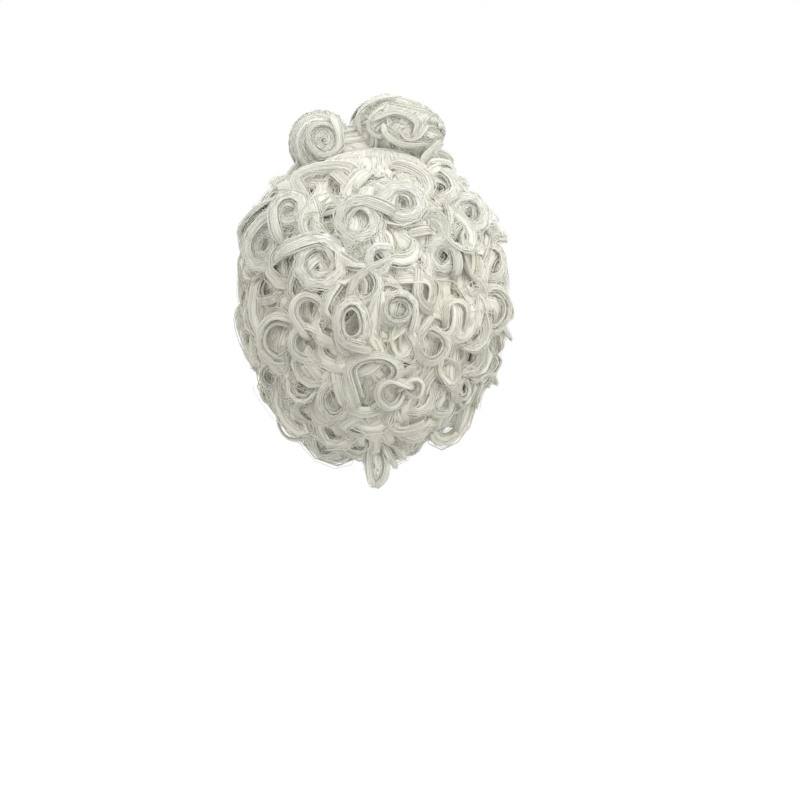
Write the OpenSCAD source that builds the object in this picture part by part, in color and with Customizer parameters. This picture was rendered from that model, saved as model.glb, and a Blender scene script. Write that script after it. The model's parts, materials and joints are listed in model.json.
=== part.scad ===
// Curly updo costume wig with a bun, on a stretch cap with adjustable nape straps.
// Origin: inside of the crown, where the head bears. +Z up, the face looks along -Y.
// Azimuth is measured from the back (+Y) towards the wearer's left (+X).
// The crown angle is measured from the top of the crown downwards.

/* [Head that the cap fits] */
// Width of the head at its widest level
head_w = 144; // [136:1:152]
// Depth of the head from brow to back
head_d = 184; // [174:1:196]
// Height of the crown over the widest level
crown_h = 88; // [80:1:96]
// Depth of the round of the head below the widest level
nape_h = 97; // [92:1:102]
// How square the dome of the head is, 2 being an ellipse
crown_square = 2.2; // [2:0.1:2.4]
// How far the nape keeps its depth on the way down, 1 being an ellipse
nape_taper = 0.8; // [0.7:0.05:1]

/* [Cap] */
// Thickness of the lining tapes and bands
tape_t = 0.6; // [0.4:0.1:0.8]
// Width of the lining tapes
tape_w = 12; // [8:1:16]
// Angle of the round crown patch where the tapes meet
patch_angle = 9; // [7:1:12]
// Thickness of the stretch net
net_t = 0.6; // [0.4:0.1:0.8]
// Clearance between one layer of cloth and the next
layer_gap = 0.45; // [0.4:0.05:0.6]
// Height of the front and nape bands, as a crown angle
band_angle = 7; // [5:1:8]
// Crown angle of the cap's edge at the middle of the nape
nape_edge = 135; // [130:1:138]
// Crown angle of the cap's edge on the forehead
brow_edge = 60; // [56:1:64]
// Width of the plastic stay in each ear tab
stay_w = 3; // [2:0.5:4]

/* [Curls] */
// Depth of the curls over the head at the sides
hair_side = 15; // [13:0.5:20]
// Depth of the curls over the brow and the back of the head
hair_back = 15; // [13:0.5:20]
// Height of the curls' form over the crown
hair_top = 7; // [6.5:0.5:12]
// Depth of the curls' form below the round of the head
hair_low = 8; // [6:0.5:12]
// How square the upper part of the curled hair is, 2 being an ellipse
hair_square = 2.5; // [2.3:0.1:2.7]
// Thickness of the weft tracks that the hair is sewn to
track_t = 0.8; // [0.5:0.1:1]
// Height of the weft tracks, as a crown angle
track_angle = 3; // [2:0.5:4]
// Crown angle at which the curls start
curl_start = 30; // [28:1:32]
// Crown angle at which the curls end
curl_end = 155; // [150:1:156]
// Angle between one row of curls and the next
row_gap = 0.3; // [0.2:0.05:0.5]
// How far the curls of a row stand over its edges
curl_relief = 3.5; // [2:0.5:5]
// Depth of the dip between one curl and the next
curl_dip = 2.5; // [0:0.5:4]
// Thickness of the smooth hair on the crown
sweep_t = 3.4; // [3:0.1:3.8]
// Size of the lock at the nape, across, deep and high
nape_lock = [20, 14, 22.7]; // [10:0.1:30]

/* [Bun] */
// Top of the bun over the inside of the crown
bun_top = 47; // [44:1:56]
// Middle of the bun behind the crown, negative being in front
bun_y = -10; // [-14:1:-6]
// Middle of the left lobe of the bun
left_lobe_x = 33; // [31:1:36]
// Size of the left lobe, across, deep and high
left_lobe = [41, 40, 42]; // [36:1:48]
// Middle of the right lobe of the bun
right_lobe_x = -14.5; // [-17:0.5:-12]
// Size of the right lobe, across, deep and high
right_lobe = [65, 50, 57]; // [48:1:70]
// How much lower the left lobe tops out
lobe_step = 9.5; // [6:0.5:12]
// Place where the two lobes meet
lobe_split_x = 15; // [13:0.5:16]
// Size of the bun's pad, across and deep
pad_size = [48, 40]; // [36:1:50]
// Height of the bun's pad over its rim
pad_h = 5; // [3:0.5:6]
// Thickness of the drawstring elastic under the bun
drawstring_d = 2.6; // [2:0.2:3]
// Angle of the bun's base net
bun_net_angle = 22; // [21:1:24]

/* [Nape adjusters] */
// Width of the elastic strap
strap_w = 6; // [5:0.5:7]
// Thickness of the elastic strap
strap_t = 0.8; // [0.6:0.1:1]
// Running clearance of the strap in its casing and of the hook over its loops
strap_gap = 0.35; // [0.3:0.05:0.4]
// Wall of the casing that the strap runs in
casing_wall = 0.6; // [0.5:0.1:0.8]
// Thickness of the hook's plate
hook_t = 0.9; // [0.7:0.1:1]
// Angle from one loop to the next round the nape
loop_pitch = 9; // [8:0.5:9]
// Number of loops on each side
loop_count = 4; // [3:1:4]
// Angle from the middle of the nape to the first loop
first_loop = 10; // [9:1:11]
// Loop that the hook is in, counted from the middle of the nape
hooked_loop = 3; // [2:1:3]

/* [Hidden] */
slack = 0.4; // clearance between soft pieces that lie on each other
step = 6; // azimuth between two sections of a piece
blob_sides = 24;
steps_per_row = 2;
row_count = 10;
curl_pitch = 18;
net_lift = tape_t + layer_gap;
track_lift = net_lift + net_t + layer_gap;
hair_lift = track_lift + track_t + layer_gap;
sweep_top = hair_lift + sweep_t;
base_lift = sweep_top + slack;
base_t = 0.6;
bun_floor = base_lift + base_t + slack;
lobe_floor = bun_floor + slack + drawstring_d + slack;
row_height = (curl_end - curl_start)/row_count;
// how far each row of curls reaches round the head from the back, and each track
row_reach = [180, 180, 180, 105, 105, 105, 96, 96, 72, 48];
track_reach = [180, 180, 180, 96, 96, 90, 72, 60, 42];
fringe_reach = [126, 234];
fringe_angles = [68, 80];
temple_reach = [106.5, 124.5];
temple_angles = [68, 99];
// crown angle of the cap's edge by azimuth: nape, ears, ear tabs, temples and forehead
cap_edge = [[0, nape_edge], [42, nape_edge - 3], [66, 119], [78, 105], [90, 99], [99, 110],
            [111, 109], [123, 82], [144, brow_edge + 5], [180, brow_edge]];

hair_colour = [0.88, 0.87, 0.8];
shade_colour = [0.8, 0.78, 0.7];
net_colour = [0.82, 0.79, 0.72];
tape_colour = [0.9, 0.88, 0.82];
clip_colour = [0.25, 0.24, 0.23];

// ---- forms: azimuth a, crown angle t -------------------------------------------------
// A dome on a rounded lower half, from its widths, heights and squareness
function form(a, t, w, d, up, down, square) = let(
    c = cos(t),
    across = t < 90 ? pow(sin(t), 2/square) : sin(t),
    deep = t < 90 ? across : pow(sin(t), nape_taper),
    high = c > 0 ? up*pow(c, 2/square) : down*c)
    [w/2*across*sin(a), d/2*deep*cos(a), high - crown_h];

// The head, with a layer at a given height over it
function skin(a, t, lift = 0) =
    form(a, t, head_w + 2*lift, head_d + 2*lift, crown_h + lift, nape_h + lift, crown_square);

// The outside of the curls, let in by a depth
function curls(a, t, depth = 0) =
    form(a, t, head_w + 2*(hair_side - depth), head_d + 2*(hair_back - depth),
         crown_h + hair_top - depth, nape_h + hair_low - depth, hair_square);

// Height of a dome at a point in plan, from its widths, height and squareness
function dome_z(x, y, w, d, up, square) = let(q = pow(2*x/w, 2) + pow(2*y/d, 2))
    up*pow(max(0, 1 - pow(q, square/2)), 1/square) - crown_h;

// Height of a layer over the head at a point in plan
function crown_z(x, y, lift) =
    dome_z(x, y, head_w + 2*lift, head_d + 2*lift, crown_h + lift, crown_square);

// Height of the curls at a point in plan
function curls_z(x, y) =
    dome_z(x, y, head_w + 2*hair_side, head_d + 2*hair_back, crown_h + hair_top, hair_square);

// Crown angle of the cap's edge at an azimuth
function edge(a) = lookup(abs(a) > 180 ? 360 - abs(a) : abs(a), cap_edge);

// Half the azimuth that a width takes up at a crown angle
function half_turn(width, a, t) = let(p = skin(a, t))
    asin(width/2/norm([p[0], p[1]]));

// ---- solids --------------------------------------------------------------------------
// A solid through sections of equally many points: the first half runs along the inner
// face and the second half back along the outer one
module loft(sections, closed = false) {
    k = len(sections[0]);
    n = len(sections);
    last = closed ? n - 1 : n - 2;
    sides = [for (i = [0:last]) for (j = [0:k - 1]) let(
        p = i*k + j,
        q = i*k + (j + 1) % k,
        r = ((i + 1) % n)*k + (j + 1) % k,
        s = ((i + 1) % n)*k + j)
        each [[p, s, q], [q, s, r]]];
    ends = closed ? [] : [for (j = [0:k/2 - 2]) let(
        far = (n - 1)*k)
        each [[j, j + 1, k - 1 - j], [j + 1, k - 2 - j, k - 1 - j],
              [far + j + 1, far + j, far + k - 1 - j],
              [far + k - 2 - j, far + j + 1, far + k - 1 - j]]];
    polyhedron([for (s = sections) each s], concat(sides, ends));
}

// A closed solid between two sheets that each start at a pole: lower(a, u) and
// upper(a, u), with u from 0 at the pole to 1 at the rim
module dome(lower, upper, sides, rings) {
    turn = 360/sides;
    pts = concat([lower(0, 0), upper(0, 0)],
        [for (k = [1:rings]) for (i = [0:sides - 1]) lower(i*turn, k/rings)],
        [for (k = [1:rings]) for (i = [0:sides - 1]) upper(i*turn, k/rings)]);
    low = 2;
    high = 2 + sides*rings;
    fans = [for (i = [0:sides - 1]) let(j = (i + 1) % sides)
        each [[0, low + i, low + j], [1, high + j, high + i]]];
    sheets = [for (k = [0:rings - 2]) for (i = [0:sides - 1]) let(
        j = (i + 1) % sides,
        b = k*sides,
        c = (k + 1)*sides)
        each [[low + b + i, low + c + i, low + c + j], [low + b + i, low + c + j, low + b + j],
              [high + b + i, high + c + j, high + c + i], [high + b + i, high + b + j, high + c + j]]];
    rim = [for (i = [0:sides - 1]) let(
        j = (i + 1) % sides,
        b = (rings - 1)*sides)
        each [[low + b + i, high + b + i, high + b + j], [low + b + i, high + b + j, low + b + j]]];
    polyhedron(pts, concat(fans, sheets, rim));
}

// A band of cloth on the head between two azimuths and two crown angles, which are
// functions of azimuth
module band(from, to, top, bottom, lift, thick, rows = 2) {
    n = ceil((to - from)/step);
    loft([for (i = [0:n]) let(a = from + (to - from)*i/n, t0 = top(a), t1 = bottom(a))
        concat([for (j = [0:rows]) skin(a, t0 + (t1 - t0)*j/rows, lift)],
               [for (j = [rows:-1:0]) skin(a, t0 + (t1 - t0)*j/rows, lift + thick)])]);
}

// A closed ring of cloth on the head
module ring_band(top, bottom, lift, thick) {
    loft([for (a = [0:step:359])
        [skin(a, top, lift), skin(a, bottom, lift),
         skin(a, bottom, lift + thick), skin(a, top, lift + thick)]], closed = true);
}

// A tape of even width down the head at an azimuth
module tape(a, top, bottom, width, lift, thick) {
    n = max(2, ceil((bottom - top)/step));
    loft([for (i = [0:n]) let(t = top + (bottom - top)*i/n, h = half_turn(width, a, t))
        concat([for (b = [h, 0, -h]) skin(a + b, t, lift)],
               [for (b = [-h, 0, h]) skin(a + b, t, lift + thick)])]);
}

// A round sheet over the crown
module crown_sheet(angle, lift, thick, rings) {
    dome(function(a, u) skin(a, u*angle, lift),
         function(a, u) skin(a, u*angle, lift + thick), 360/step, rings);
}

// One section through a row of curls: along the cap, then back over the curls
function row_section(a, top, bottom, phase) = let(
    dip = curl_dip*(0.5 - 0.5*cos(360*(a - phase)/curl_pitch)),
    n = steps_per_row)
    concat([for (j = [0:n]) skin(a, top + (bottom - top)*j/n, hair_lift)],
           [for (j = [n:-1:0]) curls(a, top + (bottom - top)*j/n,
                                     j == 0 || j == n ? curl_relief : dip)]);

module curl_band(from, to, top, bottom, phase) {
    closed = to - from >= 360;
    loft([for (a = [from:step:closed ? to - step : to])
        row_section(a, top, bottom, phase)], closed);
}

// An egg-shaped lock or lobe. floor_z(x, y) is the lowest it may lie, and it is cut off
// flat at x_low and x_high
module blob(centre, size, floor_z, x_low = -1000, x_high = 1000, rings = 8) {
    rim = 6;
    point = function(a, e) let(
        x = min(x_high, max(x_low, centre[0] + size[0]/2*cos(e)*sin(a))),
        y = centre[1] + size[1]/2*cos(e)*cos(a),
        z = centre[2] + size[2]/2*sin(e))
        [x, y, max(z, floor_z(x, y))];
    dome(function(a, u) point(a, -90 + u*(90 - rim)),
         function(a, u) point(a, 90 - u*(90 - rim)), blob_sides, rings);
}

// ---- cap -----------------------------------------------------------------------------
module crown_patch() {
    color(tape_colour) crown_sheet(patch_angle, 0, tape_t, 2);
}

module lining_tape(a, bottom, top = tape_top) {
    color(tape_colour) tape(a, top, bottom, tape_w, 0, tape_t);
}

// The back tapes start where they clear the ones on both sides of them
back_tape_a = 42;
tape_top = patch_angle + 1;
back_tape_top = [for (t = [tape_top:0.5:45]) let(
    w = tape_w + slack,
    own = half_turn(w, back_tape_a, t))
    if (own + half_turn(w, 0, t) < back_tape_a && own + half_turn(w, 90, t) < 90 - back_tape_a)
        t][0];

module back_tape(side) {
    lining_tape(side*back_tape_a, edge(48) - band_angle - 2, back_tape_top);
}

module cap_net() {
    color(net_colour)
        dome(function(a, u) skin(a, u*edge(a > 180 ? a - 360 : a), net_lift),
             function(a, u) skin(a, u*edge(a > 180 ? a - 360 : a), net_lift + net_t),
             360/step, 20);
}

module front_band() {
    color(tape_colour)
        band(126, 234, function(a) edge(a) - band_angle, function(a) edge(a), 0, tape_t);
}

module nape_band() {
    color(tape_colour)
        band(-48, 48, function(a) edge(a) - band_angle, function(a) edge(a), 0, tape_t);
}

module ear_tab(side) {
    color(tape_colour) mirror([side < 0 ? 1 : 0, 0, 0])
        band(96, 114, function(a) edge(a) - 14, function(a) edge(a), 0, tape_t);
}

module ear_stay(side) {
    color(clip_colour) tape(side*105, 93, 107, stay_w, track_lift, track_t);
}

// ---- nape adjusters: rings about an upright axis that follow the nape -----------------
strap_t_angle = nape_edge - band_angle/2;
strap_p = skin(0, strap_t_angle);
strap_side = skin(90, strap_t_angle);
nape_r = strap_side[0]*strap_side[0]/strap_p[1];
axis_y = strap_p[1] - nape_r;
nape_z = strap_p[2];
nape_above = skin(0, nape_edge - band_angle);
nape_below = skin(0, nape_edge);
slant = (nape_above[1] - nape_below[1])/(nape_above[2] - nape_below[2]);
loop_t = 0.8;
loop_arc = 1.6;
loop_seat = 0.35; // clearance of the loops and casings from the nape band
loop_r = nape_r - loop_seat;
lip_t = 0.5;
lip_gap = 0.5;
hook_r = loop_r - loop_t - strap_gap - lip_t - lip_gap;
strap_r = hook_r - hook_t/2 + strap_t/2;
casing_arc = [41, 66];
strap_arc = [31, 67];
hook_arc = [24, 30.7];
lip_bend = 1.2; // angle of the bend that joins the lip to the plate
hook_at = first_loop + (hooked_loop - 1)*loop_pitch;

// A ring sector between two radii, on a cone that follows the nape, about the adjusters'
// axis. Its angles are measured from the back
module sector(arc, r_out, thick, height, side) {
    translate([0, axis_y, nape_z])
        rotate([0, 0, side > 0 ? 90 - arc[1] : 90 + arc[0]])
        rotate_extrude(angle = arc[1] - arc[0], $fn = 180)
        polygon([[r_out - thick - slant*height/2, -height/2], [r_out - slant*height/2, -height/2],
                 [r_out + slant*height/2, height/2], [r_out - thick + slant*height/2, height/2]]);
}

module casing(side) {
    deep = loop_r - strap_r + strap_t + strap_gap + casing_wall;
    tall = strap_w + 2*strap_gap + 2*casing_wall;
    color(tape_colour) difference() {
        sector(casing_arc, loop_r, deep, tall, side);
        sector(casing_arc + [-1, 1], strap_r + strap_gap, strap_t + 2*strap_gap,
               strap_w + 2*strap_gap, side);
    }
}

module strap(side) {
    color(tape_colour) sector(strap_arc, strap_r, strap_t, strap_w, side);
}

// A plate that the strap is sewn to, turned back at its end into a lip that holds a loop
module hook(side) {
    lip_end = hook_at + loop_arc/2;
    lip_r = hook_r + lip_gap + lip_t;
    color(clip_colour) difference() {
        sector(hook_arc, lip_r, hook_t + lip_gap + lip_t, strap_w, side);
        sector([hook_arc[0] + lip_bend, lip_end], hook_r + lip_gap, lip_gap, strap_w + 1, side);
        sector([lip_end, hook_arc[1] + 1], lip_r + 1, 1 + lip_t + lip_gap, strap_w + 1, side);
    }
}

module loops(side) {
    color(tape_colour) for (i = [0:loop_count - 1])
        sector([first_loop + i*loop_pitch - loop_arc, first_loop + i*loop_pitch + loop_arc],
               loop_r, loop_t, strap_w, side);
}

// ---- hair ----------------------------------------------------------------------------
function row_top(i) = curl_start + (i - 1)*row_height + (i > 1 ? row_gap/2 : row_gap);
function row_bottom(i) = curl_start + i*row_height - row_gap/2;

module curl_row(i) {
    reach = row_reach[i - 1];
    color(i % 2 == 0 ? hair_colour : shade_colour)
        curl_band(-reach, reach, row_top(i), row_bottom(i), step*((i + 1) % 3));
}

module weft_track(i) {
    reach = track_reach[i - 1];
    top = curl_start + (i - 1)*row_height + 1;
    color(tape_colour)
        if (reach >= 180)
            ring_band(top, top + track_angle, track_lift, track_t);
        else
            band(-reach, reach, function(a) top, function(a) top + track_angle,
                 track_lift, track_t, 1);
}

module crown_sweep() {
    color(hair_colour) crown_sheet(curl_start - row_gap, hair_lift, sweep_t, 5);
}

module fringe_curls() {
    color(hair_colour)
        curl_band(fringe_reach[0], fringe_reach[1], fringe_angles[0], fringe_angles[1], 0);
}

module temple_curls(side) {
    color(shade_colour) mirror([side < 0 ? 1 : 0, 0, 0]) loft(
        [for (a = [temple_reach[0]:step:temple_reach[1]]) let(n = 6, t0 = temple_angles[0],
            t1 = temple_angles[1])
            concat([for (j = [0:n]) skin(a, t0 + (t1 - t0)*j/n, hair_lift)],
                   [for (j = [n:-1:0]) curls(a, t0 + (t1 - t0)*j/n,
                                             j % 2 == 0 ? curl_relief : 0)])]);
}

module nape_lock_curl() {
    bottom = curls(0, row_bottom(row_count), curl_relief);
    centre = [-6, bottom[1], bottom[2] - slack - nape_lock[2]/2];
    color(hair_colour) blob(centre, nape_lock, function(x, y) -1000, rings = 5);
}

// ---- bun -----------------------------------------------------------------------------
pad_x = -3;
pad_rim = 1;
pad_seat = crown_z(pad_x, bun_y, bun_floor) + pad_rim;
drawstring_reach = drawstring_d/2 + slack;

// Height of the pad's top at a point in plan
function pad_z(x, y) = let(
    q = pow(2*(x - pad_x)/pad_size[0], 2) + pow(2*(y - bun_y)/pad_size[1], 2))
    pad_seat + pad_h*(1 - q);

// The lobes rest over the drawstring, the pad and the first row of curls
function lobe_z(x, y) =
    max(crown_z(x, y, lobe_floor), pad_z(x, y) + slack, curls_z(x, y) + slack);

module bun_base_net() {
    color(net_colour) crown_sheet(bun_net_angle, base_lift, base_t, 4);
}

module bun_pad() {
    plan = function(a, u) [pad_x + pad_size[0]/2*u*sin(a), bun_y + pad_size[1]/2*u*cos(a)];
    color(net_colour)
        dome(function(a, u) let(p = plan(a, u)) [p[0], p[1], crown_z(p[0], p[1], bun_floor)],
             function(a, u) let(p = plan(a, u)) [p[0], p[1], pad_z(p[0], p[1])], blob_sides, 5);
}

module bun_drawstring() {
    sides = 8;
    r = drawstring_d/2;
    color(tape_colour) loft([for (i = [0:35]) let(
        a = i*10,
        ax = pad_size[0]/2 + drawstring_reach,
        ay = pad_size[1]/2 + drawstring_reach,
        x = pad_x + ax*sin(a),
        y = bun_y + ay*cos(a),
        z = crown_z(x, y, bun_floor) + r + slack)
        [for (j = [0:sides - 1]) let(b = 360*j/sides)
            [x - r*cos(b)*sin(a), y - r*cos(b)*cos(a), z - r*sin(b)]]], closed = true);
}

module bun_lobe_left() {
    centre = [left_lobe_x, bun_y, bun_top - lobe_step - left_lobe[2]/2];
    color(shade_colour)
        blob(centre, left_lobe, function(x, y) lobe_z(x, y), x_low = lobe_split_x + slack/2);
}

module bun_lobe_right() {
    centre = [right_lobe_x, bun_y, bun_top - right_lobe[2]/2];
    color(hair_colour)
        blob(centre, right_lobe, function(x, y) lobe_z(x, y), x_high = lobe_split_x - slack/2);
}

crown_patch();
lining_tape(180, brow_edge - band_angle - 1);  // centre_tape_front
lining_tape(0, nape_edge - band_angle - 1);  // centre_tape_back
lining_tape(90, edge(90) - 2);  // side_tape_left
lining_tape(-90, edge(90) - 2);  // side_tape_right
back_tape(1);  // back_tape_left
back_tape(-1);  // back_tape_right
cap_net();
front_band();
nape_band();
ear_tab(1);  // ear_tab_left
ear_tab(-1);  // ear_tab_right
ear_stay(1);  // ear_stay_left
ear_stay(-1);  // ear_stay_right
casing(1);  // casing_left
casing(-1);  // casing_right
strap(1);  // strap_left
strap(-1);  // strap_right
hook(1);  // hook_left
hook(-1);  // hook_right
loops(1);  // loops_left
loops(-1);  // loops_right
crown_sweep();
fringe_curls();
temple_curls(1);  // temple_curls_left
temple_curls(-1);  // temple_curls_right
nape_lock_curl();
bun_base_net();
bun_pad();
bun_drawstring();
bun_lobe_left();
bun_lobe_right();
for (i = [1:row_count - 1])
    weft_track(i);
for (i = [1:row_count])
    curl_row(i);
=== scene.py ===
import json
import math

import bpy
import numpy as np
from mathutils import Matrix, Vector
from mathutils.bvhtree import BVHTree


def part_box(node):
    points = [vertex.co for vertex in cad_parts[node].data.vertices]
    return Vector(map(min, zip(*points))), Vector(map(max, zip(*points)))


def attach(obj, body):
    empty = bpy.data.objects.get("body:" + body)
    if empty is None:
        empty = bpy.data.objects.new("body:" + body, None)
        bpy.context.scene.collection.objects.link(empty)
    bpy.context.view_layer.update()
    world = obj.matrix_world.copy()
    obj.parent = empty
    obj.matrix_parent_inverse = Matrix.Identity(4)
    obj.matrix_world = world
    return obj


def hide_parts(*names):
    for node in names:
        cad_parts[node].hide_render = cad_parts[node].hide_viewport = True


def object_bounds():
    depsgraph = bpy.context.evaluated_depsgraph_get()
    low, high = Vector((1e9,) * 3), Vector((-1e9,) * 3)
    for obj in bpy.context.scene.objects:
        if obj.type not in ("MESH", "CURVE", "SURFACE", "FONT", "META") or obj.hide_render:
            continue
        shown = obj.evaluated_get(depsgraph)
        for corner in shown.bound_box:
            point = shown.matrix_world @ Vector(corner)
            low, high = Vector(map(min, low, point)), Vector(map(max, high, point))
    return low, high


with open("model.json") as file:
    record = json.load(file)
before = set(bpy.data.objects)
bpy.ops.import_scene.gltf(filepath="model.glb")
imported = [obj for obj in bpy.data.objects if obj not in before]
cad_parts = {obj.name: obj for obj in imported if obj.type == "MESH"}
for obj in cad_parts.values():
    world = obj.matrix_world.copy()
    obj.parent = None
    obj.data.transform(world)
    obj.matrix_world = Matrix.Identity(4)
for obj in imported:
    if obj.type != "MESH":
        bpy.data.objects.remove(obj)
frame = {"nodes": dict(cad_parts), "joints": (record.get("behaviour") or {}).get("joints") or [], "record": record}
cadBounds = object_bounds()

bpy.ops.object.select_all(action="DESELECT")
print("frame loaded:", len(frame["nodes"]), "nodes")

nodes = frame["nodes"]
capBody = "wig_cap"
rowNames = ["curl_row_%d" % i for i in range(1, 11)]
edgeNames = {"fringe_curls": "curlsFringe", "temple_curls_left": "curlsTempleLeft",
             "temple_curls_right": "curlsTempleRight"}
curlNames = rowNames + list(edgeNames)
rng = np.random.default_rng(41)  # another number gives another fall of the curls
upZ = np.array([0.0, 0.0, 1.0])
backY = np.array([0.0, 1.0, 0.0])
rightX = np.array([-1.0, 0.0, 0.0])  # to the right of someone who looks at the back of the wig
far = 0.4  # further from the middle of the head than any of the wig


def unit(v):
    v = np.asarray(v, float)
    return v / np.maximum(np.linalg.norm(v, axis=-1, keepdims=True), 1e-12)


def across(v, axis):
    # the part of v that is square to axis
    return v - axis * np.sum(v * axis, axis=-1, keepdims=True)


def nodeTree(names, turned=()):
    # turned: names and the matrices that they are added at as well
    points, tris, owners = [], [], []
    for name, matrix in [(name, None) for name in names] + list(turned):
        mesh = nodes[name].data
        mesh.calc_loop_triangles()
        base = len(points)
        points += [matrix @ v.co if matrix else v.co.copy() for v in mesh.vertices]
        tris += [[base + i for i in t.vertices] for t in mesh.loop_triangles]
        owners += [name] * len(mesh.loop_triangles)
    return BVHTree.FromPolygons(points, tris), owners


hairTree, hairOwners = nodeTree(curlNames)

# the round of the hair, from the widest row, the sweep on top and the lowest row
lowWide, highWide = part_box("curl_row_5")
middle = np.array([0.0, 0.0, (lowWide[2] + highWide[2]) / 2])
halfWide = float(highWide[0])
halfDeep = 0.09
lowHalf = middle[2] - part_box("curl_row_10")[0][2]
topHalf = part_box("crown_sweep")[1][2] - middle[2]


def outward(p):
    # smooth normal of the round of the hair at a point
    d = np.asarray(p, float) - middle
    half = np.array([halfWide, halfDeep, topHalf if d[2] > 0 else lowHalf * 1.25])
    return unit(d / half ** 2)


def castOut(direction):
    # the outside of the curls along a direction from the middle of the head, and the row that is there
    way = unit(direction)
    hit = hairTree.ray_cast(Vector(middle + way * far), Vector(-way), far)
    return (None, None) if hit[0] is None else (np.array(hit[0]), hairOwners[hit[2]])


def castIn(direction):
    # the inside of the curls, which lies on the cap
    hit = hairTree.ray_cast(Vector(middle), Vector(unit(direction)), far)
    return None if hit[0] is None else np.array(hit[0])


def castBack(x, z):
    # the outside of the curls seen from straight behind; past the outline, the nearest point of it
    for pull in np.linspace(1, .8, 21):
        hit = hairTree.ray_cast(Vector((x * pull, far, z)), Vector((0, -1, 0)), far)
        if hit[0] is not None:
            return np.array(hit[0]), hairOwners[hit[2]]
    return None, None


def depthOf(points):
    # 0 close to the cap, 1 at the outside of the hair; the hair material paints shade where it is low
    d = points - middle
    half = np.where(d[:, 2] > 0, topHalf, lowHalf * 1.04)
    r = np.sqrt((d[:, 0] / halfWide) ** 2 + (d[:, 1] / halfDeep / 1.12) ** 2 + (d[:, 2] / half) ** 2)
    return np.clip((r - 0.82) / 0.2, 0, 1)


capLook = {"around": 240, "down": 150, "poses": 10, "edge": 12, "gap": .0008, "layer": .0006, "press": .006}


def capReach():
    # how far the outside of the cap is from the middle of the head, by azimuth and polar angle, and 0 in the
    # openings; the straps and hooks count at every place that they slide to
    hidden = set(curlNames) | {"crown_sweep", "nape_lock_curl"}
    turned = []
    for joint in frame["joints"]:
        side = joint["child"].split("_")[-1]
        pivot = Matrix.Translation(joint["pos_m"])
        for degrees in np.linspace(*joint["range_deg"], capLook["poses"]):
            matrix = pivot @ Matrix.Rotation(math.radians(degrees), 4, "Z") @ pivot.inverted()
            turned += [("strap_" + side, matrix), ("hook_" + side, matrix)]
    shell = nodeTree([n for n in nodes if n not in hidden and not n.startswith("bun_")], turned)[0]
    reach = np.zeros((capLook["around"], capLook["down"]))
    for i in range(capLook["around"]):
        for j in range(capLook["down"]):
            a, p = math.radians(i * 360 / capLook["around"]), math.radians((j + .5) * 180 / capLook["down"])
            way = Vector((math.sin(p) * math.sin(a), math.sin(p) * math.cos(a), math.cos(p)))
            hit = shell.ray_cast(Vector(middle) + way * far, -way, far)
            if hit[0] is not None:
                reach[i, j] = far - hit[3]
    return reach


capGrid = capReach()
# the widest of each cell and its neighbours, so that a band's edge is cleared too
capGrid = np.maximum.reduce([np.roll(capGrid, shift, 0) for shift in (-1, 0, 1)])
capGrid[:, 1:-1] = np.maximum(capGrid[:, 1:-1], np.maximum(capGrid[:, 2:], capGrid[:, :-2]))
# just past the cap's edges, the reach of the edge goes on, so that no lock turns into the openings
for step in range(capLook["edge"]):
    beside = [np.roll(capGrid, 1, 0), np.roll(capGrid, -1, 0), capGrid.copy(), capGrid.copy()]
    beside[2][:, 1:] = capGrid[:, :-1]
    beside[3][:, :-1] = capGrid[:, 1:]
    capGrid = np.where(capGrid > 0, capGrid, np.maximum.reduce(beside))


def clearCap(points):
    # hair that would come through the cap lies on the outside of it, in the order it had
    d = points - middle
    r = np.linalg.norm(d, axis=1)
    around, down, layer = capLook["around"], capLook["down"], capLook["layer"]
    i = np.rint(np.degrees(np.arctan2(d[:, 0], d[:, 1])) * around / 360).astype(int) % around
    j = np.clip((np.degrees(np.arccos(d[:, 2] / r)) * down / 180).astype(int), 0, down - 1)
    least = capGrid[i, j] + capLook["gap"]
    pressed = least - layer + layer * np.exp(np.minimum(r - least, 0) / capLook["press"])
    goal = np.where((r < least) & (least > .01), pressed, r)
    return middle + d * (goal / r)[:, None]


def newBatch():
    lists = {name: [] for name in ("points", "quads", "flow", "tone", "depth", "ends")}
    return {**lists, "count": 0, "share": 1.0}


def roundProfile(sides, ridge=0.0):
    angle = np.arange(sides) * 2 * math.pi / sides
    reach = .5 * (1 + ridge * np.where(np.arange(sides) % 2, 1, -1))
    return np.stack([np.cos(angle) * reach, np.sin(angle) * reach], -1)


ringletCore = roundProfile(8, .06)
matCore = roundProfile(6)
fibreProfile = np.array([(.5, -.25), (0, .5), (-.5, -.25)])


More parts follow.
